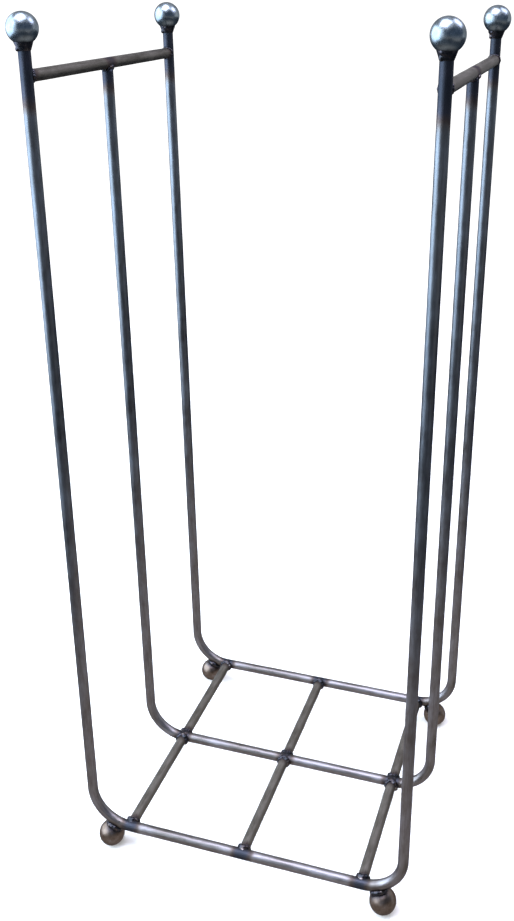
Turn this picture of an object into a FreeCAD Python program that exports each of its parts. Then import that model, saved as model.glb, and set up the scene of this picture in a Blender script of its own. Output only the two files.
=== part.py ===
"""Newspaper rack: three bent round-bar frames, two rails and a base grid, welded, with ball ends.

Millimetres. +Z is up, X runs across the rack, Y from front to back.
The origin is the centre of the footprint on the floor.
"""
import math
import os

import FreeCAD
import Part

V = FreeCAD.Vector

# Stock
BAR_DIAMETER = 12.0
BALL_DIAMETER = 30.0

# Bent frames: heights are taken from the centre line of the frames' bottoms
FRAME_SPACING = 160.0          # from one frame to the next, along Y
BASE_WIDTH = 371.0             # between the leg centre lines, carried down to the base
LEG_SPLAY_DEGREES = 0.57       # each leg leans outward
BEND_RADIUS = 45.0             # on the bar's centre line
RAIL_RISE = 860.0              # rail centre line
FINIAL_ABOVE_RAIL = 43.0       # finial ball centre

# Base grid
GRID_BAR_FROM_BEND = 1.0       # outer base bars, in from where the bends start

# Square-cut bar ends, butted to the side of another bar
BUTT_DEPTH = 0.4               # how far the end beds into the other bar

# Ball feet
FOOT_ANGLE_DEGREES = 21.5      # round the bend, outward from straight down
FOOT_SEAT_DEPTH = 0.5          # how far the bar beds into the ball
FOOT_FLAT_DIAMETER = 8.0       # ground flat that stands on the floor

# Weld beads
FINIAL_WELD_ON_BALL = 45.0     # degrees from the bar's axis to the bead's edge on the ball
FINIAL_WELD_ON_BAR = 6.8       # length down the bar from the ball
FOOT_WELD_RADIUS = 9.2
FOOT_WELD_REACH = 6.5          # from the bar's axis towards the ball
GRID_WELD_LAP = 1.5            # over the frame's bottom, past its axis
GRID_WELD_RADIUS = 9.4         # crown, about the base bar's axis
GRID_WELD_TOE = 11.0           # along the base bar, from the frame's axis
RAIL_WELD_START = 2.0          # from the axis of the bar that is butted to
RAIL_WELD_RADIUS = 7.3
RAIL_WELD_TOE = 9.0

BAR_RADIUS = BAR_DIAMETER / 2
BALL_RADIUS = BALL_DIAMETER / 2
SPLAY = math.radians(LEG_SPLAY_DEGREES)
FOOT_ANGLE = math.radians(FOOT_ANGLE_DEGREES)
LEG_DIRECTION = V(math.sin(SPLAY), 0, math.cos(SPLAY))
BUTT_REACH = BAR_RADIUS - BUTT_DEPTH
FRAME_Y = {"front": -FRAME_SPACING, "middle": 0.0, "rear": FRAME_SPACING}
SIDE_X = {"left": -1, "right": 1}

# The ball foot hangs on the outside of the bend, on a line from the bend's centre
FOOT_ARM = BEND_RADIUS + BAR_RADIUS + BALL_RADIUS - FOOT_SEAT_DEPTH
FOOT_DROP = FOOT_ARM * math.cos(FOOT_ANGLE) - BEND_RADIUS
FOOT_HEIGHT = math.sqrt(BALL_RADIUS ** 2 - (FOOT_FLAT_DIAMETER / 2) ** 2)
BASE_Z = FOOT_DROP + FOOT_HEIGHT
RAIL_Z = BASE_Z + RAIL_RISE
FINIAL_Z = RAIL_Z + FINIAL_ABOVE_RAIL

# The finial ball has a ground flat as wide as the bar, and the bar ends on it
BALL_SEAT = math.sqrt(BALL_RADIUS ** 2 - BAR_RADIUS ** 2)


def leg_point(z):
    """Point on the right-hand leg's centre line at height z, in the plane of its frame."""
    return V(BASE_WIDTH / 2 + (z - BASE_Z) * math.tan(SPLAY), 0, z)


def bend_centre():
    """Centre of the right-hand bend: one bend radius from the leg and from the bottom."""
    foot = leg_point(BASE_Z + BEND_RADIUS)
    return V(foot.x - BEND_RADIUS / math.cos(SPLAY), 0, foot.z)


def mirrored(point, side):
    return V(point.x * side, point.y, point.z)


def moved(point, y):
    return V(point.x, y, point.z)


def round_bar(start, end):
    axis = end - start
    return Part.makeCylinder(BAR_RADIUS, axis.Length, start, axis)


def bent_frame(y, leg_top):
    """One bar bent to a U, with both legs ending square at leg_top on the leg's line."""
    centre = bend_centre()
    right = [
        V(centre.x, 0, BASE_Z),
        centre + V(math.sin(math.pi / 4), 0, -math.cos(math.pi / 4)) * BEND_RADIUS,
        centre + V(math.cos(SPLAY), 0, -math.sin(SPLAY)) * BEND_RADIUS,
        leg_top,
    ]
    left = [mirrored(point, -1) for point in right]
    edges = [
        Part.LineSegment(left[3], left[2]).toShape(),
        Part.Arc(left[2], left[1], left[0]).toShape(),
        Part.LineSegment(left[0], right[0]).toShape(),
        Part.Arc(right[0], right[1], right[2]).toShape(),
        Part.LineSegment(right[2], right[3]).toShape(),
    ]
    path = Part.Wire(edges)
    section = Part.Wire([Part.makeCircle(BAR_RADIUS, left[3], left[2] - left[3])])
    bar = path.makePipeShell([section], True, False)
    bar.translate(V(0, y, 0))
    return bar


def outer_frame(y):
    """Front or rear frame: its legs run past the rails and end on the finials' flats."""
    return bent_frame(y, finial_centre() - LEG_DIRECTION * BALL_SEAT)


def middle_frame():
    """Its legs end square under the rails and bed a little into them."""
    frame = bent_frame(0.0, leg_point(RAIL_Z) - LEG_DIRECTION * BUTT_REACH)
    for side in SIDE_X.values():
        frame = frame.cut(rail_stock(side))
    return frame


def finial_centre():
    return leg_point(FINIAL_Z)


def cross_bar(x, z, y_near, y_far):
    """Square-cut bar along Y, as long as the gap between two frames plus its bedding."""
    return round_bar(V(x, y_near + BUTT_REACH, z), V(x, y_far - BUTT_REACH, z))


def rail_stock(side):
    return cross_bar(leg_point(RAIL_Z).x * side, RAIL_Z, FRAME_Y["front"], FRAME_Y["rear"])


def rail(side, front, rear):
    return rail_stock(side).cut(front).cut(rear)


def grid_bar(x, near, far, y_near, y_far):
    """Base bar between two neighbouring frames, level with their bottoms."""
    return cross_bar(x, BASE_Z, y_near, y_far).cut(near).cut(far)


def finial(side, y):
    centre = moved(mirrored(finial_centre(), side), y)
    axis = mirrored(LEG_DIRECTION, side)
    ball = Part.makeSphere(BALL_RADIUS, centre)
    below = Part.makeCylinder(BALL_RADIUS, BALL_RADIUS, centre - axis * BALL_SEAT, axis * -1)
    return ball.cut(below)


def foot_centre(side, y):
    centre = bend_centre() + V(math.sin(FOOT_ANGLE), 0, -math.cos(FOOT_ANGLE)) * FOOT_ARM
    return moved(mirrored(centre, side), y)


def foot(side, y, frame):
    """Ball with a ground flat below and a saddle where the bend beds into it."""
    centre = foot_centre(side, y)
    ball = Part.makeSphere(BALL_RADIUS, centre)
    under = Part.makeBox(BALL_DIAMETER, BALL_DIAMETER, BALL_DIAMETER,
                         V(centre.x - BALL_RADIUS, centre.y - BALL_RADIUS, -BALL_DIAMETER))
    return ball.cut(under).cut(frame)


def bead(origin, axis, profile):
    """Solid turned about axis; profile gives (distance along axis, radius) of start, crown, end."""
    start, crown, end = [V(radius, 0, along) for along, radius in profile]
    foot_point = V(0, 0, start.z)
    top_point = V(0, 0, end.z)
    edges = [
        Part.LineSegment(foot_point, start).toShape(),
        Part.Arc(start, crown, end).toShape(),
        Part.LineSegment(end, top_point).toShape(),
        Part.LineSegment(top_point, foot_point).toShape(),
    ]
    solid = Part.Face(Part.Wire(edges)).revolve(V(0, 0, 0), V(0, 0, 1), 360)
    turn = FreeCAD.Rotation(V(0, 0, 1), axis)
    solid.Placement = FreeCAD.Placement(origin, turn)
    return solid


def finial_weld(side, y, ball, frame):
    """Cone of weld metal from the bar up on to the underside of the ball."""
    centre = moved(mirrored(finial_centre(), side), y)
    down = mirrored(LEG_DIRECTION, side) * -1
    angle = math.radians(FINIAL_WELD_ON_BALL)
    top = (BALL_RADIUS * math.cos(angle), BALL_RADIUS * math.sin(angle))
    toe = (BALL_SEAT + FINIAL_WELD_ON_BAR, BAR_RADIUS)
    waist = ((top[0] + toe[0]) / 2, (top[1] + toe[1]) / 2 - 0.5)
    return bead(centre, down, [top, waist, toe]).cut(ball).cut(frame)


def foot_weld(side, y, ball, frame):
    """Ring of weld metal round the place where the ball touches the bend."""
    centre = moved(mirrored(bend_centre(), side), y)
    out = foot_centre(side, y) - centre
    contact = BEND_RADIUS + BAR_RADIUS
    start = (contact - FOOT_WELD_REACH, FOOT_WELD_RADIUS - 1.5)
    crown = (contact - 1.0, FOOT_WELD_RADIUS)
    end = (contact + 4.5, FOOT_WELD_RADIUS - 1.0)
    return bead(centre, out, [start, crown, end]).cut(ball).cut(frame)


def joint_bead(origin, axis, start, radius, toe):
    """Bead round a bar whose end is butted, along axis, to the side of a bar at origin."""
    edge = (start, BAR_RADIUS + (radius - BAR_RADIUS) / 4)
    crown = ((start + toe) / 2, radius)
    return bead(origin, axis, [edge, crown, (toe, BAR_RADIUS)])


def rail_weld(origin, axis, butted, through):
    solid = joint_bead(origin, axis, RAIL_WELD_START, RAIL_WELD_RADIUS, RAIL_WELD_TOE)
    return solid.cut(butted).cut(through)


def grid_weld(origin, frame, bars):
    """Weld metal where base bars, given by direction, meet one frame's bottom."""
    solids = [
        joint_bead(origin, axis, -GRID_WELD_LAP, GRID_WELD_RADIUS, GRID_WELD_TOE)
        for axis, bar in bars
    ]
    weld = solids[0]
    for solid in solids[1:]:
        weld = weld.fuse(solid)
    for axis, bar in bars:
        weld = weld.cut(bar)
    return weld.cut(frame)


def rails_and_welds(front, middle, rear):
    pieces = {}
    for name, side in SIDE_X.items():
        bar = rail(side, front, rear)
        top = mirrored(leg_point(RAIL_Z), side)
        down = mirrored(LEG_DIRECTION, side) * -1
        at_front = moved(top, FRAME_Y["front"])
        at_rear = moved(top, FRAME_Y["rear"])
        pieces[name + "_rail"] = bar
        pieces["rail_weld_front_" + name] = rail_weld(at_front, V(0, 1, 0), bar, front)
        pieces["rail_weld_middle_" + name] = rail_weld(top, down, middle, bar)
        pieces["rail_weld_rear_" + name] = rail_weld(at_rear, V(0, -1, 0), bar, rear)
    return pieces


def base_grid(front, middle, rear):
    grid = {}
    back = V(0, 1, 0)
    outer = bend_centre().x - GRID_BAR_FROM_BEND
    for name, x in {"left": -outer, "centre": 0.0, "right": outer}.items():
        near = grid_bar(x, front, middle, FRAME_Y["front"], FRAME_Y["middle"])
        far = grid_bar(x, middle, rear, FRAME_Y["middle"], FRAME_Y["rear"])
        grid["base_bar_front_" + name] = near
        grid["base_bar_rear_" + name] = far
        joints = {
            "front": (front, [(back, near)]),
            "middle": (middle, [(back * -1, near), (back, far)]),
            "rear": (rear, [(back * -1, far)]),
        }
        for row, (frame, bars) in joints.items():
            weld = grid_weld(V(x, FRAME_Y[row], BASE_Z), frame, bars)
            grid["grid_weld_" + row + "_" + name] = weld
    return grid


def balls_and_welds(frames):
    pieces = {}
    for end, frame in frames.items():
        y = FRAME_Y[end]
        for name, side in SIDE_X.items():
            corner = "_" + end + "_" + name
            top_ball = finial(side, y)
            low_ball = foot(side, y, frame)
            pieces["finial" + corner] = top_ball
            pieces["ball_foot" + corner] = low_ball
            pieces["finial_weld" + corner] = finial_weld(side, y, top_ball, frame)
            pieces["foot_weld" + corner] = foot_weld(side, y, low_ball, frame)
    return pieces


def build_parts():
    front = outer_frame(FRAME_Y["front"])
    middle = middle_frame()
    rear = outer_frame(FRAME_Y["rear"])
    parts = {"front_frame": front, "middle_frame": middle, "rear_frame": rear}
    parts.update(rails_and_welds(front, middle, rear))
    parts.update(base_grid(front, middle, rear))
    parts.update(balls_and_welds({"front": front, "rear": rear}))
    return parts


def main():
    os.makedirs("parts", exist_ok=True)
    for node, shape in build_parts().items():
        shape.exportStep("parts/" + node + ".step")


main()
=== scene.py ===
"""Looks of the newspaper rack: bent, burnished and welded round steel bar with ball ends."""
import math
import random

import bmesh
import bpy
from mathutils import Matrix, Vector, noise


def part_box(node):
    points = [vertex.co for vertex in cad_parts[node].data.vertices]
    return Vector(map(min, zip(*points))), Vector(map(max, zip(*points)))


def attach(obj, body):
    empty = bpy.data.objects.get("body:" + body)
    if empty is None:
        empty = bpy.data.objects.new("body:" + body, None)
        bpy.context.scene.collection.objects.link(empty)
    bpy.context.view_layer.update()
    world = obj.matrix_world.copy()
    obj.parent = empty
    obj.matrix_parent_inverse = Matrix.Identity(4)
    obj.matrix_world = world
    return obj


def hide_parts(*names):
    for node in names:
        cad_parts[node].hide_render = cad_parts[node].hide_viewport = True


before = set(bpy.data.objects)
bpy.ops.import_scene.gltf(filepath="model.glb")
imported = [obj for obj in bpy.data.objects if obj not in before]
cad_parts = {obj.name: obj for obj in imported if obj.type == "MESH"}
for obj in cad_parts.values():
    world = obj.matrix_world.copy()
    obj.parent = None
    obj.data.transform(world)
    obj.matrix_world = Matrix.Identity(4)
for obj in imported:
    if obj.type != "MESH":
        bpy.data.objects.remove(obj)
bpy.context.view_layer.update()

X = Vector((1, 0, 0))
Y = Vector((0, 1, 0))
Z = Vector((0, 0, 1))
MM = 0.001

# The bar stock and the balls, as in the CAD model
BAR_RADIUS = 6 * MM
BALL_RADIUS = 15 * MM
BEND_RADIUS = 45 * MM
LEG_SPLAY = math.radians(0.57)
FOOT_ANGLE = math.radians(21.5)
FOOT_SEAT = 0.5 * MM
BUTT_DEPTH = 0.4 * MM

# Where the pieces are, read from the CAD nodes
low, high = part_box("front_frame")
BASE_Z = low.z + BAR_RADIUS
FRONT_Y = (low.y + high.y) / 2
low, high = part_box("rear_frame")
REAR_Y = (low.y + high.y) / 2
FRAME_Y = {"front": FRONT_Y, "middle": 0.0, "rear": REAR_Y}
low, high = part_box("right_rail")
RAIL_X = (low.x + high.x) / 2
RAIL_Z = (low.z + high.z) / 2
low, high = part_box("base_bar_front_right")
GRID_X = high.x - (high.x - low.x) / 2
low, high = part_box("finial_front_right")
FINIAL_X = (low.x + high.x) / 2
FINIAL_Z = high.z - BALL_RADIUS
SIDES = {"left": -1, "right": 1}
GRID_COLUMNS = {"left": -GRID_X, "centre": 0.0, "right": GRID_X}

LEG_UP = Vector((math.sin(LEG_SPLAY), 0, math.cos(LEG_SPLAY)))
BALL_SEAT = math.sqrt(BALL_RADIUS ** 2 - BAR_RADIUS ** 2)

# How finely the bars are made
BAR_SIDES = 32
BAR_STEP = 4 * MM
BEND_STEPS = 24
BALL_SUBDIVISIONS = 6

# Hand work left in the bars: slow waves and a finer ripple, off the true surface
BAR_WAVE = 0.11 * MM
BAR_RIPPLE = 0.04 * MM
FRAME_SEEDS = {"front": 0, "middle": 40, "rear": 80}
RAIL_SEED = 120
BASE_BAR_SEED = 200
REAR_SEED_STEP = 7

# How far from each kind of weld its heat colours the steel, and how strongly
HEAT = {"finial_weld": (42 * MM, 1.0), "rail_weld": (42 * MM, 1.0),
        "grid_weld": (18 * MM, 0.95), "foot_weld": (16 * MM, 0.8)}
CROSS_BAR_HEAT = (20 * MM, 0.75)
BALL_HEAT_REACH = 16 * MM

# A weld bead is drops of metal melted together
WELD_VOXEL = 0.5 * MM
WELD_SMOOTHING = 14
SIDE_CLEARANCE = 2.8 * MM
GRID_DROPS = 11
GRID_DROP = 2.9 * MM
GRID_STANDOFF = 1.3 * MM
GRID_CORE = 7.3 * MM
GRID_CORE_OUT = 3.6 * MM
CROSSING_LUMP = 7.4 * MM
CROSSING_LIFT = 1 * MM
RAIL_DROPS = 14
RAIL_DROP = 1.9 * MM
RAIL_STANDOFF = 0.2 * MM
NECK_START = 9.8 * MM
NECK_DEPTH = 10.5 * MM
NECK_TOP_RADIUS = 9.9 * MM
NECK_FOOT_RADIUS = 6.2 * MM
# each pass round the neck: millimetres from the ball's middle, its radius, a drop's, and the count
NECK_PASSES = ((12.8, 6.0, 2.9, 9), (16.8, 4.6, 2.6, 7))
NECK_BEAD_DOWN = 18.4 * MM
NECK_BEAD_OUT = 6.2 * MM
NECK_BEAD = 2.4 * MM
FOOT_DROPS = 14
draw = random.Random(12)


def leg_point(z):
    """Point on the right-hand leg's centre line at height z."""
    return Vector((RAIL_X + (z - RAIL_Z) * math.tan(LEG_SPLAY), 0, z))


def bend_centre():
    start = leg_point(BASE_Z + BEND_RADIUS)
    return Vector((start.x - BEND_RADIUS / math.cos(LEG_SPLAY), 0, start.z))


def at(point, side, y):
    """The right-hand point, mirrored to a side and moved to a frame's plane."""
    return Vector((point.x * side, y, point.z))


FINIAL = Vector((FINIAL_X, 0, FINIAL_Z))
FOOT_ARM = BEND_RADIUS + BAR_RADIUS + BALL_RADIUS - FOOT_SEAT
FOOT_OUT = Vector((math.sin(FOOT_ANGLE), 0, -math.cos(FOOT_ANGLE)))
FOOT = bend_centre() + FOOT_OUT * FOOT_ARM


# ---------------------------------------------------------------- materials

def linear(code):
    """An sRGB hex colour as linear RGBA."""
    out = []
    for start in (0, 2, 4):
        value = int(code[start:start + 2], 16) / 255
        out.append(value / 12.92 if value <= 0.04045 else ((value + 0.055) / 1.055) ** 2.4)
    return (*out, 1.0)


def node(tree, kind, settings=None, inputs=None):
    """Adds one node; an input given as a socket is linked, and any other is set."""
    made = tree.nodes.new(kind)
    for name, value in (settings or {}).items():
        setattr(made, name, value)
    for name, value in (inputs or {}).items():
        if isinstance(value, bpy.types.NodeSocket):
            tree.links.new(value, made.inputs[name])
        else:
            made.inputs[name].default_value = value
    return made


def ramp(tree, factor, stops):
    """Colour ramp; stops are (position, hex or grey level)."""
    made = node(tree, "ShaderNodeValToRGB", None, {"Fac": factor})
    elements = made.color_ramp.elements
    while len(elements) < len(stops):
        elements.new(0.5)
    for element, (place, colour) in zip(elements, stops):
        element.position = place
        element.color = linear(colour) if isinstance(colour, str) else (colour,) * 3 + (1,)
    return made.outputs["Color"]


def new_material(name):
    material = bpy.data.materials.new(name)
    material.use_nodes = True
    tree = material.node_tree
    tree.nodes.clear()
    return material, tree


def finish_metal(tree, colour, roughness, height, bump, distance, tint):
    """Principled metal from linked colour, roughness and height."""
    bumped = node(tree, "ShaderNodeBump", None,
                  {"Strength": bump, "Distance": distance, "Height": height})
    shader = node(tree, "ShaderNodeBsdfPrincipled", None, {
        "Base Color": colour, "Metallic": 1.0, "Roughness": roughness,
        "Specular Tint": tint, "Normal": bumped.outputs["Normal"]})
    node(tree, "ShaderNodeOutputMaterial", None, {"Surface": shader.outputs["BSDF"]})


def bar_material(name, tones, browner_and_painted_light_low_tones, heat_tones, rough, scratch_depth):
    """Round bar. Patches and scratches run along the bar, read from its own attribute."""
    material, tree = new_material(name)
    bar = node(tree, "ShaderNodeAttribute", {"attribute_name": "bar"})
    heat = node(tree, "ShaderNodeAttribute", {"attribute_name": "weld_heat"})
    # mill scale and wax left in patches about 12 mm across and 30 mm long
    patch_place = node(tree, "ShaderNodeMapping", None,
                       {"Vector": bar.outputs["Vector"], "Scale": (90, 90, 34)})
    patches = node(tree, "ShaderNodeTexNoise", None,
                   {"Vector": patch_place.outputs["Vector"], "Scale": 1.0, "Detail": 4.0,
                    "Roughness": 0.6})
    # scratches of the abrasive, about 0.8 mm apart so that they show, and 25 mm long
    scratch_place = node(tree, "ShaderNodeMapping", None,
                         {"Vector": bar.outputs["Vector"], "Scale": (1250, 1250, 40)})
    scratches = node(tree, "ShaderNodeTexNoise", None,
                     {"Vector": scratch_place.outputs["Vector"], "Scale": 1.0, "Detail": 2.0})
    # pits and grains about 1.5 mm across
    grain = node(tree, "ShaderNodeTexNoise", None,
                 {"Vector": bar.outputs["Vector"], "Scale": 650.0, "Detail": 3.0})
    # rubbed and oiled blue above, browner towards the floor; low down the tones are also lighter,
    # which is painted light standing in for the bright floor that the low bars reflect
    place = node(tree, "ShaderNodeTexCoord")
    split = node(tree, "ShaderNodeSeparateXYZ", None, {"Vector": place.outputs["Object"]})
    uneven = node(tree, "ShaderNodeMath", {"operation": "MULTIPLY_ADD"},
                  {0: patches.outputs["Fac"], 1: 0.3, 2: split.outputs["Z"]})
    climb = node(tree, "ShaderNodeMapRange", {"interpolation_type": "SMOOTHSTEP"},
                 {"Value": uneven.outputs["Value"], "From Min": 0.25, "From Max": 0.85})
    lower_browner_and_painted_light = ramp(tree, patches.outputs["Fac"], browner_and_painted_light_low_tones)
    upper = ramp(tree, patches.outputs["Fac"], tones)
    base = node(tree, "ShaderNodeMix", {"data_type": "RGBA"},
                {0: climb.outputs["Result"], 6: lower_browner_and_painted_light, 7: upper}).outputs[2]
    wobble = node(tree, "ShaderNodeMath", {"operation": "MULTIPLY_ADD"},
                  {0: patches.outputs["Fac"], 1: 0.5, 2: heat.outputs["Fac"]})
    shifted = node(tree, "ShaderNodeMath", {"operation": "SUBTRACT"},
                   {0: wobble.outputs["Value"], 1: 0.25})
    tint = ramp(tree, shifted.outputs["Value"], heat_tones)
    spread = node(tree, "ShaderNodeMapRange", {"interpolation_type": "SMOOTHSTEP"},
                  {"Value": shifted.outputs["Value"], "From Min": 0.08, "From Max": 0.4})
    coloured = node(tree, "ShaderNodeMix", {"data_type": "RGBA"},
                    {0: spread.outputs["Result"], 6: base, 7: tint})
    marks = ramp(tree, scratches.outputs["Fac"], [(0.3, 0.72), (0.55, 1.0)])
    marked = node(tree, "ShaderNodeMix", {"data_type": "RGBA", "blend_type": "MULTIPLY"},
                  {0: 0.8, 6: coloured.outputs[2], 7: marks})
    mixed = node(tree, "ShaderNodeMath", {"operation": "MULTIPLY_ADD"},
                 {0: scratches.outputs["Fac"], 1: 0.4, 2: patches.outputs["Fac"]})
    polish = node(tree, "ShaderNodeMapRange", None,
                  {"Value": mixed.outputs["Value"], "From Min": 0.45, "From Max": 0.95,
                   "To Min": rough[0], "To Max": rough[1]})
    scorched = node(tree, "ShaderNodeMath", {"operation": "MULTIPLY_ADD"},
                    {0: spread.outputs["Result"], 1: 0.12, 2: polish.outputs["Result"]})
    height = node(tree, "ShaderNodeMath", {"operation": "MULTIPLY_ADD"},
                  {0: grain.outputs["Fac"], 1: 0.6, 2: scratches.outputs["Fac"]})
    finish_metal(tree, marked.outputs[2], scorched.outputs["Value"], height.outputs["Value"],
                 0.35, scratch_depth, (0.5, 0.5, 0.52, 1))
    return material


def ball_material(name, tones, rough, stain):
    """Ground and polished steel ball: faint stains, hair scratches, no grain to see."""
    material, tree = new_material(name)
    place = node(tree, "ShaderNodeTexCoord")
    # stains of wax and heat about 8 mm across
    stains = node(tree, "ShaderNodeTexNoise", None,
                  {"Vector": place.outputs["Object"], "Scale": 120.0, "Detail": 4.0,
                   "Roughness": 0.62})
    # hair scratches of the polishing cloth, about 1 mm apart
    hairs_place = node(tree, "ShaderNodeMapping", None,
                       {"Vector": place.outputs["Object"], "Rotation": (0.5, 0.3, 0.2),
                        "Scale": (1000, 160, 160)})
    hairs = node(tree, "ShaderNodeTexNoise", None,
                 {"Vector": hairs_place.outputs["Vector"], "Scale": 1.0, "Detail": 3.0})
    heat = node(tree, "ShaderNodeAttribute", {"attribute_name": "weld_heat"})
    base = ramp(tree, stains.outputs["Fac"], tones)
    edge = node(tree, "ShaderNodeMath", {"operation": "MULTIPLY_ADD"},
                {0: stains.outputs["Fac"], 1: 0.5, 2: heat.outputs["Fac"]})
    spread = node(tree, "ShaderNodeMapRange", {"interpolation_type": "SMOOTHSTEP"},
                  {"Value": edge.outputs["Value"], "From Min": 0.35, "From Max": 0.8})
    coloured = node(tree, "ShaderNodeMix", {"data_type": "RGBA"},
                    {0: spread.outputs["Result"], 6: base, 7: linear(stain)})
    both = node(tree, "ShaderNodeMath", {"operation": "MULTIPLY_ADD"},
                {0: hairs.outputs["Fac"], 1: 0.5, 2: stains.outputs["Fac"]})
    polish = node(tree, "ShaderNodeMapRange", None,
                  {"Value": both.outputs["Value"], "From Min": 0.5, "From Max": 1.0,
                   "To Min": rough[0], "To Max": rough[1]})
    dull = node(tree, "ShaderNodeMath", {"operation": "MULTIPLY_ADD"},
                {0: spread.outputs["Result"], 1: 0.15, 2: polish.outputs["Result"]})
    finish_metal(tree, coloured.outputs[2], dull.outputs["Value"], hairs.outputs["Fac"],
                 0.06, 0.0002, (0.5, 0.5, 0.52, 1))
    return material


def weld_material(name):
    """Weld bead: glassy dark scale, faintly blue, with brown edges and bright tips, the bright
    tips being painted glints.
    """
    material, tree = new_material(name)
    place = node(tree, "ShaderNodeTexCoord")
    # temper colours change over about 6 mm
    temper = node(tree, "ShaderNodeTexNoise", None,
                  {"Vector": place.outputs["Object"], "Scale": 160.0, "Detail": 3.0})
    # scale flakes and spatter about 1 mm across
    flakes = node(tree, "ShaderNodeTexNoise", None,
                  {"Vector": place.outputs["Object"], "Scale": 900.0, "Detail": 3.0})
    # the lightest stop makes bright tips at random spots: painted glints on the bead
    colour = ramp(tree, temper.outputs["Fac"], [
        (0.3, "222428"), (0.45, "2d2f34"), (0.55, "37363e"), (0.63, "453e3b"), (0.74, "7e7e82")])
    polish = node(tree, "ShaderNodeMapRange", None,
                  {"Value": flakes.outputs["Fac"], "From Min": 0.3, "From Max": 0.7,
                   "To Min": 0.2, "To Max": 0.42})
    finish_metal(tree, colour, polish.outputs["Result"], flakes.outputs["Fac"],
                 0.3, 0.0003, (0.6, 0.6, 0.65, 1))
    return material


# Mild steel bar, hot rolled, then burnished with a wire wheel and waxed: dark, satin, bluish
burnished_bar = bar_material(
    "burnished_waxed_steel_bar",
    [(0.3, "4f5359"), (0.5, "5e646c"), (0.7, "6a727d")],
    # low down: browner, and lighter as painted light for the bright floor the low bars reflect
    [(0.3, "5e5b5b"), (0.5, "716f73"), (0.7, "807f86")],
    [(0.1, "625850"), (0.35, "4a4342"), (0.55, "373a44"), (0.85, "2d323b")],
    (0.27, 0.45), 0.0002)
# The same bar left with its mill finish: grey-brown and dull
mill_bar = bar_material(
    "mill_finish_steel_bar",
    [(0.3, "4c4a46"), (0.5, "5c5a56"), (0.7, "686662")],
    # low down: browner, and lighter as painted light for the bright floor the low bars reflect
    [(0.3, "53504c"), (0.5, "65625e"), (0.7, "73706c")],
    [(0.1, "59534d"), (0.35, "484140"), (0.55, "38373c"), (0.85, "2c2d31")],
    (0.42, 0.6), 0.0003)
# Bearing-type steel ball, ground and polished, darkened by oil and heat
polished_ball = ball_material(
    "polished_darkened_steel_ball",
    [(0.3, "5b656d"), (0.55, "747f88"), (0.75, "858f98")], (0.23, 0.33), "292f38")
# The same ball under the rack, browned by weld heat and the floor
foot_ball = ball_material(
    "heat_browned_steel_ball",
    [(0.3, "50463f"), (0.55, "665c57"), (0.75, "7b787a")], (0.28, 0.4), "2c2a30")
# Weld metal as laid, brushed only lightly
weld_bead = weld_material("weld_bead_with_heat_tint")


# ---------------------------------------------------------------- shapes

def turn_to(axis):
    """Rotation that takes +Z to axis."""
    return Z.rotation_difference(axis).to_matrix().to_4x4()


def finish_piece(bm, name, cad_nodes, material):
    """Makes the object, in its place, and lets it stand for its CAD nodes."""
    mesh = bpy.data.meshes.new(name)
    bm.to_mesh(mesh)
    bm.free()
    return place_mesh(mesh, name, cad_nodes, material)


def place_mesh(mesh, name, cad_nodes, material):
    mesh.materials.clear()
    mesh.materials.append(material)
    mesh.shade_smooth()
    piece = bpy.data.objects.new(name, mesh)
    bpy.context.scene.collection.objects.link(piece)
    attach(piece, "root")
    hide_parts(*cad_nodes)
    return piece


class BarMaker:
    """Draws one bar: a ring of edges pushed along and bent round."""

    def __init__(self, end, axis):
        self.bm = bmesh.new()
        self.bm.verts.layers.float_vector.new("bar")
        self.bm.verts.layers.float.new("weld_heat")
        self.place = self.bm.verts.layers.float_vector["bar"]
        self.heat = self.bm.verts.layers.float["weld_heat"]
        self.along = 0.0
        self.axis = axis.normalized()
        made = bmesh.ops.create_circle(self.bm, segments=BAR_SIDES, radius=BAR_RADIUS)
        for vert in made["verts"]:
            vert[self.place] = vert.co
        bmesh.ops.transform(self.bm, verts=made["verts"],
                            matrix=Matrix.Translation(end) @ turn_to(self.axis))
        self.ring = list({edge for vert in made["verts"] for edge in vert.link_edges})

    def mark(self, step, geom):
        self.along += step
        self.ring = [item for item in geom if isinstance(item, bmesh.types.BMEdge)]
        for vert in {vert for edge in self.ring for vert in edge.verts}:
            placed = vert[self.place]
            vert[self.place] = Vector((placed.x, placed.y, self.along))

    def push(self, length):
        count = max(1, round(length / BAR_STEP))
        step = length / count
        for _ in range(count):
            made = bmesh.ops.extrude_edge_only(self.bm, edges=self.ring)["geom"]
            verts = [item for item in made if isinstance(item, bmesh.types.BMVert)]
            bmesh.ops.translate(self.bm, verts=verts, vec=self.axis * step)
            self.mark(step, made)

    def bend(self, centre, angle):
        step = angle / BEND_STEPS
        for _ in range(BEND_STEPS):
            made = bmesh.ops.spin(self.bm, geom=self.ring, cent=centre, axis=Y, dvec=(0, 0, 0),
                                  angle=step, steps=1, use_merge=False, use_duplicate=False)
            self.mark(BEND_RADIUS * abs(step), made["geom_last"])
        self.axis = Matrix.Rotation(angle, 3, "Y") @ self.axis

    def finish(self, name, cad_nodes, material, welds, seed):
        """Caps the ends, gives the bar its slight hand-worked waviness and its weld heat."""
        bm = self.bm
        bmesh.ops.holes_fill(bm, edges=[edge for edge in bm.edges if edge.is_boundary], sides=0)
        bmesh.ops.recalc_face_normals(bm, faces=bm.faces)
        bm.normal_update()
        for vert in bm.verts:
            where = vert[self.place]
            wave = noise.noise(Vector((where.x * 60, where.y * 60, where.z * 28 + seed)))
            fine = noise.noise(Vector((where.x * 160, where.y * 160, where.z * 90 + seed)))
            vert[self.heat] = max(max(0.0, strength * (1 - (vert.co - weld).length / reach))
                                  for weld, (reach, strength) in welds)
            vert.co += vert.normal * (BAR_WAVE * wave + BAR_RIPPLE * fine)
        return finish_piece(bm, name, cad_nodes, material)


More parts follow.
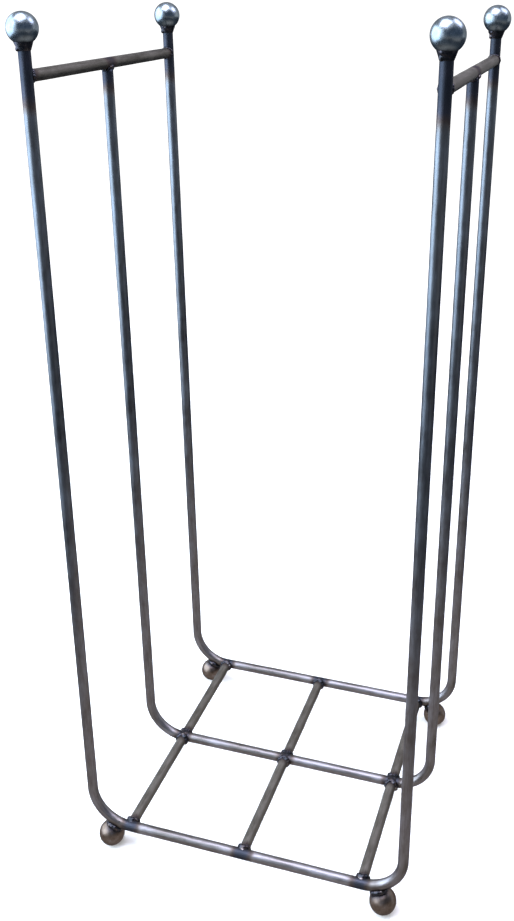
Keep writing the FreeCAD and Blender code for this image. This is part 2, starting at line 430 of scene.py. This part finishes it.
def weld_places():
    """Middle of every weld, by CAD node."""
    places = {}
    for side_name, side in SIDES.items():
        for row, y in FRAME_Y.items():
            places["rail_weld_%s_%s" % (row, side_name)] = at(leg_point(RAIL_Z), side, y)
        for row in ("front", "rear"):
            neck = FINIAL - LEG_UP * BALL_RADIUS
            bed = bend_centre() + FOOT_OUT * (BEND_RADIUS + BAR_RADIUS)
            corner = "%s_%s" % (row, side_name)
            places["finial_weld_" + corner] = at(neck, side, FRAME_Y[row])
            places["foot_weld_" + corner] = at(bed, side, FRAME_Y[row])
    for row, y in FRAME_Y.items():
        for column, x in GRID_COLUMNS.items():
            places["grid_weld_%s_%s" % (row, column)] = Vector((x, y, BASE_Z))
    return places


WELDS = weld_places()


def bent_frame(row, top):
    """One bar: down the left leg, round, along the bottom, round, and up the right leg."""
    y = FRAME_Y[row]
    down = Vector((LEG_UP.x, 0, -LEG_UP.z))
    across = Vector((math.cos(LEG_SPLAY), 0, -math.sin(LEG_SPLAY)))
    bend_start = bend_centre() + across * BEND_RADIUS
    leg = (top - bend_start).length
    turn = math.pi / 2 - LEG_SPLAY
    bar = BarMaker(at(top, -1, y), down)
    bar.push(leg)
    bar.bend(at(bend_centre(), -1, y), -turn)
    bar.push(bend_centre().x * 2)
    bar.bend(at(bend_centre(), 1, y), -turn)
    bar.push(leg)
    near = [(place, HEAT[name[:name.index("weld") + 4]]) for name, place in WELDS.items()
            if abs(place.y - y) < BAR_RADIUS]
    bar.finish(row + "_bent_bar", [row + "_frame"], burnished_bar, near,
               FRAME_SEEDS[row])


def straight_bar(name, cad_node, seed):
    """A rail or base bar, cut square and ground lightly at both ends."""
    lowest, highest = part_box(cad_node)
    middle = (lowest + highest) / 2
    if "rail" in cad_node:
        x, z = middle.x, RAIL_Z
    else:
        x, z = GRID_COLUMNS[cad_node.rsplit("_", 1)[1]], BASE_Z
    start = min(FRAME_Y.values(), key=lambda y: abs(y - lowest.y))
    end = min(FRAME_Y.values(), key=lambda y: abs(y - highest.y))
    reach = BAR_RADIUS - BUTT_DEPTH
    bar = BarMaker(Vector((x, start + reach, z)), Y)
    bar.push(end - start - 2 * reach)
    near = [(place, CROSS_BAR_HEAT) for place in WELDS.values()
            if abs(place.x - x) < BAR_RADIUS and abs(place.z - z) < BAR_RADIUS]
    bar.finish(name, [cad_node], mill_bar, near, seed)


def ball(name, cad_node, centre, flat_normal, flat_distance, material, weld):
    """Polished ball with one ground flat."""
    bm = bmesh.new()
    heat = bm.verts.layers.float.new("weld_heat")
    bmesh.ops.create_icosphere(bm, subdivisions=BALL_SUBDIVISIONS, radius=BALL_RADIUS,
                               matrix=Matrix.Translation(centre))
    geom = list(bm.verts) + list(bm.edges) + list(bm.faces)
    bmesh.ops.bisect_plane(bm, geom=geom, dist=0.01 * MM,
                           plane_co=centre + flat_normal * flat_distance,
                           plane_no=flat_normal, clear_outer=True)
    bmesh.ops.holes_fill(bm, edges=[edge for edge in bm.edges if edge.is_boundary], sides=0)
    bmesh.ops.recalc_face_normals(bm, faces=bm.faces)
    for vert in bm.verts:
        vert[heat] = max(0.0, 1 - (vert.co - weld).length / BALL_HEAT_REACH)
    finish_piece(bm, name, [cad_node], material)


def add_blob(bm, centre, radius):
    bmesh.ops.create_icosphere(bm, subdivisions=3, radius=radius,
                               matrix=Matrix.Translation(centre))


def melt(bm, name, cad_node):
    """Runs the drops of weld metal together to one bead."""
    mesh = bpy.data.meshes.new(name + "_drops")
    bm.to_mesh(mesh)
    bm.free()
    helper = bpy.data.objects.new(name + "_drops", mesh)
    bpy.context.scene.collection.objects.link(helper)
    remesh = helper.modifiers.new("melt", "REMESH")
    remesh.mode = "VOXEL"
    remesh.voxel_size = WELD_VOXEL
    smooth = helper.modifiers.new("flow", "SMOOTH")
    smooth.iterations = WELD_SMOOTHING
    smooth.factor = 0.5
    graph = bpy.context.evaluated_depsgraph_get()
    melted = bpy.data.meshes.new_from_object(helper.evaluated_get(graph))
    bpy.data.objects.remove(helper)
    bpy.data.meshes.remove(mesh)
    melted.name = name
    place_mesh(melted, name, [cad_node], weld_bead)


def joint_drops(bm, origin, butted, through, drop, standoff, count):
    """Drops round the end of a butted bar, on the curve where it meets the other bar."""
    side = butted.cross(through).normalized()
    for index in range(count):
        angle = 2 * math.pi * (index + 0.5) / count
        out = through * math.cos(angle) + side * math.sin(angle)
        along = math.hypot(BAR_RADIUS * out.dot(through), SIDE_CLEARANCE) + standoff
        size = drop * draw.uniform(0.88, 1.12)
        add_blob(bm, origin + butted * along + out * (BAR_RADIUS - 0.05 * drop), size)


def grid_weld(row, column):
    """A fat fillet round the end of each base bar, lapped over the frame's bottom."""
    name = "grid_weld_%s_%s" % (row, column)
    origin = WELDS[name]
    bm = bmesh.new()
    ways = {"front": [Y], "middle": [Y, -Y], "rear": [-Y]}[row]
    for way in ways:
        add_blob(bm, origin + way * GRID_CORE_OUT, GRID_CORE)
        joint_drops(bm, origin, way, X, GRID_DROP, GRID_STANDOFF, GRID_DROPS)
    if row == "middle":
        add_blob(bm, origin + Z * CROSSING_LIFT, CROSSING_LUMP)
    melt(bm, name + "_bead", name)


def rail_weld(row, side_name):
    """Small bead: round the middle leg's top, or round the rail's end on an outer leg."""
    name = "rail_weld_%s_%s" % (row, side_name)
    bm = bmesh.new()
    leg = Vector((LEG_UP.x * SIDES[side_name], 0, LEG_UP.z))
    butted, through = {"front": (Y, leg), "middle": (-leg, Y), "rear": (-Y, leg)}[row]
    joint_drops(bm, WELDS[name], butted, through, RAIL_DROP, RAIL_STANDOFF, RAIL_DROPS)
    melt(bm, name + "_bead", name)


def finial_weld(row, side_name):
    """Cone of weld metal up on to the ball, laid in two passes."""
    corner = "%s_%s" % (row, side_name)
    side = SIDES[side_name]
    centre = at(FINIAL, side, FRAME_Y[row])
    down = Vector((-LEG_UP.x * side, 0, -LEG_UP.z))
    bm = bmesh.new()
    middle = centre + down * (NECK_START + NECK_DEPTH / 2)
    bmesh.ops.create_cone(bm, cap_ends=True, segments=48, radius1=NECK_TOP_RADIUS,
                          radius2=NECK_FOOT_RADIUS, depth=NECK_DEPTH,
                          matrix=Matrix.Translation(middle) @ turn_to(down))
    for distance, radius, drop, count in NECK_PASSES:
        for index in range(count):
            angle = 2 * math.pi * (index + draw.uniform(-0.2, 0.2)) / count
            out = X * math.cos(angle) + Y * math.sin(angle)
            add_blob(bm, centre + down * (distance + draw.uniform(-0.5, 0.5)) * MM
                     + out * radius * MM, drop * draw.uniform(0.85, 1.15) * MM)
    # where the pass was stopped, a bead stands out towards the front left
    bead = math.radians(draw.uniform(195, 235))
    bead_out = X * math.cos(bead) + Y * math.sin(bead)
    add_blob(bm, centre + down * NECK_BEAD_DOWN + bead_out * NECK_BEAD_OUT, NECK_BEAD)
    melt(bm, "finial_weld_%s_bead" % corner, "finial_weld_" + corner)


def foot_weld(row, side_name):
    """Ring of weld metal between the bend and the ball."""
    corner = "%s_%s" % (row, side_name)
    side = SIDES[side_name]
    bed = WELDS["foot_weld_" + corner]
    out = Vector((FOOT_OUT.x * side, 0, FOOT_OUT.z))
    along = Y.cross(out)
    bm = bmesh.new()
    for index in range(FOOT_DROPS):
        angle = 2 * math.pi * index / FOOT_DROPS
        spread = along * math.cos(angle) * 7.2 + Y * math.sin(angle) * 6.4
        lift = 1.2 - 2.6 * math.sin(angle) ** 2
        add_blob(bm, bed + (spread + out * lift) * MM, draw.uniform(3.0, 3.7) * MM)
    melt(bm, "foot_weld_%s_bead" % corner, "foot_weld_" + corner)


for row_name in ("front", "rear"):
    bent_frame(row_name, FINIAL - LEG_UP * BALL_SEAT)
bent_frame("middle", leg_point(RAIL_Z) - LEG_UP * (BAR_RADIUS - BUTT_DEPTH))
for count_seed, side_name in enumerate(SIDES):
    straight_bar(side_name + "_rail_bar", side_name + "_rail", RAIL_SEED + 20 * count_seed)
for row_name in ("front", "rear"):
    for count_seed, column_name in enumerate(GRID_COLUMNS):
        cad_name = "base_bar_%s_%s" % (row_name, column_name)
        bar_seed = BASE_BAR_SEED + 15 * count_seed + (REAR_SEED_STEP if row_name == "rear" else 0)
        straight_bar(cad_name + "_bar", cad_name, bar_seed)
for row_name in ("front", "rear"):
    for side_name, side_sign in SIDES.items():
        corner_name = "%s_%s" % (row_name, side_name)
        y_row = FRAME_Y[row_name]
        leg_down = Vector((-LEG_UP.x * side_sign, 0, -LEG_UP.z))
        ball("finial_ball_" + corner_name, "finial_" + corner_name, at(FINIAL, side_sign, y_row),
             leg_down, BALL_SEAT, polished_ball, WELDS["finial_weld_" + corner_name])
        ball("foot_ball_" + corner_name, "ball_foot_" + corner_name, at(FOOT, side_sign, y_row),
             -Z, FOOT.z, foot_ball, WELDS["foot_weld_" + corner_name])
        finial_weld(row_name, side_name)
        foot_weld(row_name, side_name)
for row_name in FRAME_Y:
    for side_name in SIDES:
        rail_weld(row_name, side_name)
    for column_name in GRID_COLUMNS:
        grid_weld(row_name, column_name)


# ---------------------------------------------------------------- studio

def stage_plane(name, centre, normal, width, height, material):
    bm = bmesh.new()
    bmesh.ops.create_grid(bm, x_segments=1, y_segments=1, size=0.5)
    bmesh.ops.scale(bm, vec=(width, height, 1), verts=bm.verts)
    bmesh.ops.transform(bm, verts=bm.verts, matrix=Matrix.Translation(centre) @ turn_to(normal))
    mesh = bpy.data.meshes.new(name)
    bm.to_mesh(mesh)
    bm.free()
    mesh.materials.append(material)
    plane = bpy.data.objects.new(name, mesh)
    bpy.context.scene.collection.objects.link(plane)
    return plane


def facing(centre, direction):
    """Place of a lamp or camera at centre that looks along direction."""
    return Matrix.Translation(centre) @ direction.to_track_quat("-Z", "Y").to_matrix().to_4x4()


def seen_by_camera_or_gloss(tree):
    path = node(tree, "ShaderNodeLightPath")
    first = node(tree, "ShaderNodeMath", {"operation": "MAXIMUM"},
                 {0: path.outputs["Is Camera Ray"], 1: path.outputs["Is Glossy Ray"]})
    every = node(tree, "ShaderNodeMath", {"operation": "MAXIMUM"},
                 {0: first.outputs["Value"], 1: path.outputs["Is Transmission Ray"]})
    return every.outputs["Value"]


def white_floor():
    """Matt white studio floor, lifted to plain white where nothing shades it."""
    material, tree = new_material("matt_white_studio_floor")
    matt = node(tree, "ShaderNodeBsdfDiffuse", None, {"Color": linear("e6e6e6")})
    place = node(tree, "ShaderNodeTexCoord")
    distance = node(tree, "ShaderNodeVectorMath", {"operation": "LENGTH"},
                    {0: place.outputs["Object"]})
    level = node(tree, "ShaderNodeMapRange", {"interpolation_type": "SMOOTHSTEP"},
                 {"Value": distance.outputs["Value"], "From Min": 0.4, "From Max": 2.6,
                  "To Min": 0.2, "To Max": 0.8})
    lift = node(tree, "ShaderNodeMath", {"operation": "MULTIPLY"},
                {0: seen_by_camera_or_gloss(tree), 1: level.outputs["Result"]})
    glow = node(tree, "ShaderNodeEmission", None, {"Strength": lift.outputs["Value"]})
    both = node(tree, "ShaderNodeAddShader", None,
                {0: matt.outputs["BSDF"], 1: glow.outputs["Emission"]})
    node(tree, "ShaderNodeOutputMaterial", None, {"Surface": both.outputs["Shader"]})
    stage_plane("studio_floor", Vector((0, 0, 0)), Z, 160, 160, material)


def painted_shade_and_light_card(name, centre, toward, width, height):
    """Card out of the picture, seen only in the metal: its glow is painted shade, dim blue-grey
    higher up, and painted light, bright near the floor; polished metal needs something dark to
    reflect.
    """
    material = bpy.data.materials.get("card_of_painted_shade_and_light")
    if material is None:
        material, tree = new_material("card_of_painted_shade_and_light")
        place = node(tree, "ShaderNodeTexCoord")
        split = node(tree, "ShaderNodeSeparateXYZ", None, {"Vector": place.outputs["Object"]})
        climb = node(tree, "ShaderNodeMapRange", None,
                     {"Value": split.outputs["Z"], "From Min": 0.0, "From Max": 1.6})
        # bright near the floor: painted light; dim blue-grey higher up: painted shade
        colour = ramp(tree, climb.outputs["Result"], [
            (0.0, "dfd6ce"), (0.2, "d3cbc5"), (0.42, "949ca5"), (0.65, "66788e")])
        glow = node(tree, "ShaderNodeEmission", None, {"Color": colour, "Strength": 1.0})
        node(tree, "ShaderNodeOutputMaterial", None, {"Surface": glow.outputs["Emission"]})
    keep_to_gloss(stage_plane(name, centre, (toward - centre).normalized(), width, height,
                              material))


def keep_to_gloss(card):
    for ray in ("camera", "diffuse", "shadow", "transmission", "volume_scatter"):
        setattr(card, "visible_" + ray, False)


def floor_card():
    """Rug under and round the rack, seen only in the metal: its glow is a painted pool of light,
    bright and brownish near the rack, and painted shade in dim blue-grey further out.
    """
    material, tree = new_material("rug_of_painted_light_and_shade")
    place = node(tree, "ShaderNodeTexCoord")
    distance = node(tree, "ShaderNodeVectorMath", {"operation": "LENGTH"},
                    {0: place.outputs["Object"]})
    reach = node(tree, "ShaderNodeMapRange", None,
                 {"Value": distance.outputs["Value"], "From Min": 0.15, "From Max": 1.3})
    # near the rack a painted pool of light, further out dim blue-grey painted shade
    colour = ramp(tree, reach.outputs["Result"], [
        (0.0, "f0e8e2"), (0.3, "c9c1bb"), (0.65, "6c737c"), (1.0, "555e6a")])
    glow = node(tree, "ShaderNodeEmission", None, {"Color": colour, "Strength": 1.0})
    node(tree, "ShaderNodeOutputMaterial", None, {"Surface": glow.outputs["Emission"]})
    keep_to_gloss(stage_plane("rug", Vector((0, 0, 0.003)), Z, 9, 9, material))


def soft_box(name, centre, toward, width, height, watts, colour):
    light = bpy.data.lights.new(name, "AREA")
    light.shape = "RECTANGLE"
    light.size = width
    light.size_y = height
    light.energy = watts
    light.color = linear(colour)[:3]
    lamp = bpy.data.objects.new(name, light)
    lamp.matrix_world = facing(centre, toward - centre)
    lamp.visible_camera = False
    bpy.context.scene.collection.objects.link(lamp)


def white_world():
    world = bpy.data.worlds.new("studio")
    bpy.context.scene.world = world
    world.use_nodes = True
    tree = world.node_tree
    tree.nodes.clear()
    seen = seen_by_camera_or_gloss(tree)
    level = node(tree, "ShaderNodeMapRange", None, {"Value": seen, "To Min": 0.5, "To Max": 1.0})
    sky = node(tree, "ShaderNodeBackground", None,
               {"Color": linear("ffffff"), "Strength": level.outputs["Result"]})
    node(tree, "ShaderNodeOutputWorld", None, {"Surface": sky.outputs["Background"]})


def camera():
    data = bpy.data.cameras.new("camera")
    data.sensor_width = 36.0
    data.lens = 40.57
    data.shift_x = -0.0484
    data.shift_y = -0.1357
    data.clip_end = 300.0
    azimuth = math.radians(17.10)
    elevation = math.radians(19.21)
    aim = Vector((-math.sin(azimuth) * math.cos(elevation),
                  math.cos(azimuth) * math.cos(elevation), -math.sin(elevation)))
    made = bpy.data.objects.new("camera", data)
    made.matrix_world = facing(Vector((0.3370, -1.0242, 0.9797)), aim)
    bpy.context.scene.collection.objects.link(made)
    bpy.context.scene.camera = made


white_floor()
white_world()
middle_height = Vector((0, 0, 0.5))
soft_box("window_left", Vector((-1.35, -0.45, 0.95)), middle_height, 2.1, 1.9, 90, "dff0ff")
soft_box("window_front_left", Vector((-0.95, -1.5, 1.0)), middle_height, 0.9, 1.6, 10, "dff0ff")
soft_box("ceiling_right", Vector((0.9, 0.5, 1.9)), middle_height, 0.8, 0.8, 16, "e9e6ff")
soft_box("ceiling_front", Vector((-0.2, -0.4, 2.3)), middle_height, 1.4, 1.4, 62, "ecebff")
# cards of painted shade and light, seen only in the metal
painted_shade_and_light_card("card_right", Vector((1.5, -0.6, 1.0)), middle_height, 2.3, 2.4)
painted_shade_and_light_card("card_behind_camera", Vector((0.5, -2.4, 1.2)), middle_height, 2.4, 2.6)
floor_card()
camera()
bpy.context.scene.view_settings.view_transform = "Standard"
